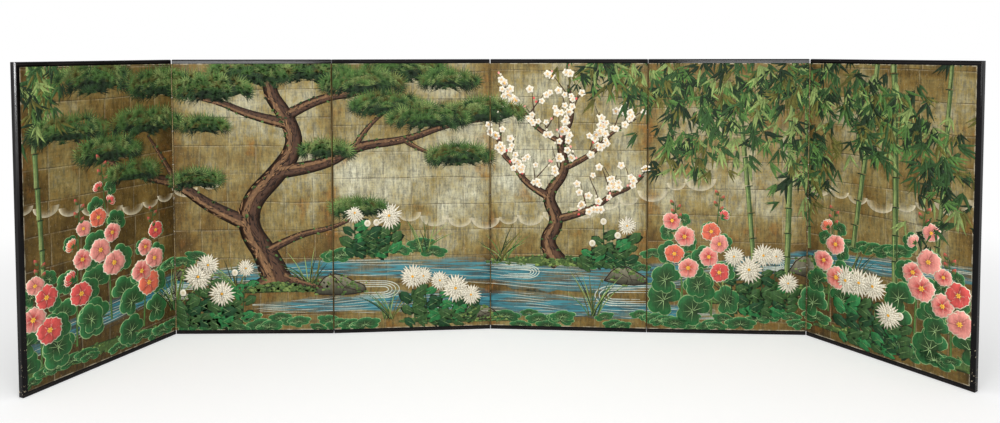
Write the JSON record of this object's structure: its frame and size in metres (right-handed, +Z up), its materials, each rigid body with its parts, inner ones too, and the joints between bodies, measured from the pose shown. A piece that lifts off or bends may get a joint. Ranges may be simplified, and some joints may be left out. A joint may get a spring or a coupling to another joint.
{
  "type": "byobu folding screen",
  "caption": "Low folding screen of paper-hinged panels: silver-leafed picture faces, patterned paper backs and black lacquer edge strips, with the end panels turned forward.",
  "frame": {"origin": "middle of the screen's footprint, on the floor", "axes": "+X along the screen from the viewer's left to right, -Y towards the viewer on the picture side, +Z up"},
  "size_m": [3.0517, 0.6138, 1.06],
  "materials": {
    "black_lacquer": "black gloss lacquer on wood",
    "leafed_paper": "squares of tarnished silver and gold-toned leaf on paper, painted",
    "lining_paper": "plain mulberry paper",
    "back_paper": "block-printed paper",
    "hinge_paper": "tan mulberry paper",
    "core_wood": "planed cedar",
    "bamboo": "split bamboo"
  },
  "bodies": {
    "panel_1": {"panel_1_core_frame": "core_wood", "panel_1_core_ribs": "core_wood", "panel_1_lining_papers": "lining_paper", "panel_1_picture_sheet": "leafed_paper", "panel_1_back_paper": "back_paper", "panel_1_hinge_wings": "hinge_paper", "panel_1_strip_pegs": "bamboo", "panel_1_top_strip": "black_lacquer", "panel_1_bottom_strip": "black_lacquer", "panel_1_left_stile": "black_lacquer"},
    "panel_2": {"panel_2_core_frame": "core_wood", "panel_2_core_ribs": "core_wood", "panel_2_lining_papers": "lining_paper", "panel_2_picture_sheet": "leafed_paper", "panel_2_back_paper": "back_paper", "panel_2_hinge_wings": "hinge_paper", "panel_2_strip_pegs": "bamboo", "panel_2_top_strip": "black_lacquer", "panel_2_bottom_strip": "black_lacquer"},
    "panel_3": {"panel_3_core_frame": "core_wood", "panel_3_core_ribs": "core_wood", "panel_3_lining_papers": "lining_paper", "panel_3_picture_sheet": "leafed_paper", "panel_3_back_paper": "back_paper", "panel_3_hinge_wings": "hinge_paper", "panel_3_strip_pegs": "bamboo", "panel_3_top_strip": "black_lacquer", "panel_3_bottom_strip": "black_lacquer"},
    "panel_4": {"panel_4_core_frame": "core_wood", "panel_4_core_ribs": "core_wood", "panel_4_lining_papers": "lining_paper", "panel_4_picture_sheet": "leafed_paper", "panel_4_back_paper": "back_paper", "panel_4_hinge_wings": "hinge_paper", "panel_4_strip_pegs": "bamboo", "panel_4_top_strip": "black_lacquer", "panel_4_bottom_strip": "black_lacquer"},
    "panel_5": {"panel_5_core_frame": "core_wood", "panel_5_core_ribs": "core_wood", "panel_5_lining_papers": "lining_paper", "panel_5_picture_sheet": "leafed_paper", "panel_5_back_paper": "back_paper", "panel_5_hinge_wings": "hinge_paper", "panel_5_strip_pegs": "bamboo", "panel_5_top_strip": "black_lacquer", "panel_5_bottom_strip": "black_lacquer"},
    "panel_6": {"panel_6_core_frame": "core_wood", "panel_6_core_ribs": "core_wood", "panel_6_lining_papers": "lining_paper", "panel_6_picture_sheet": "leafed_paper", "panel_6_back_paper": "back_paper", "panel_6_hinge_wings": "hinge_paper", "panel_6_strip_pegs": "bamboo", "panel_6_top_strip": "black_lacquer", "panel_6_bottom_strip": "black_lacquer", "panel_6_right_stile": "black_lacquer"}
  },
  "joints": [
    {"name": "fold_3_4", "type": "hinge", "parent": "panel_3", "child": "panel_4", "pos_m": [-0.03739, 0.28374, 0], "axis": [0, 0, -1], "range_deg": [-8.5, 171.5]},
    {"name": "fold_2_3", "type": "hinge", "parent": "panel_3", "child": "panel_2", "pos_m": [-0.64361, 0.26571, 0], "axis": [0, 0, -1], "range_deg": [-8.75, 176]},
    {"name": "fold_4_5", "type": "hinge", "parent": "panel_4", "child": "panel_5", "pos_m": [0.56864, 0.26042, 0], "axis": [0, 0, 1], "range_deg": [-1.1, 178.9]},
    {"name": "fold_1_2", "type": "hinge", "parent": "panel_2", "child": "panel_1", "pos_m": [-1.24961, 0.24141, 0], "axis": [0, 0, 1], "range_deg": [-65, 115]},
    {"name": "fold_5_6", "type": "hinge", "parent": "panel_5", "child": "panel_6", "pos_m": [1.17214, 0.20022, 0], "axis": [0, 0, -1], "range_deg": [-53, 127]}
  ],
  "couplings": [
    {"joint": "fold_2_3", "follows": "fold_3_4", "ratio": 1.0262}
  ]
}
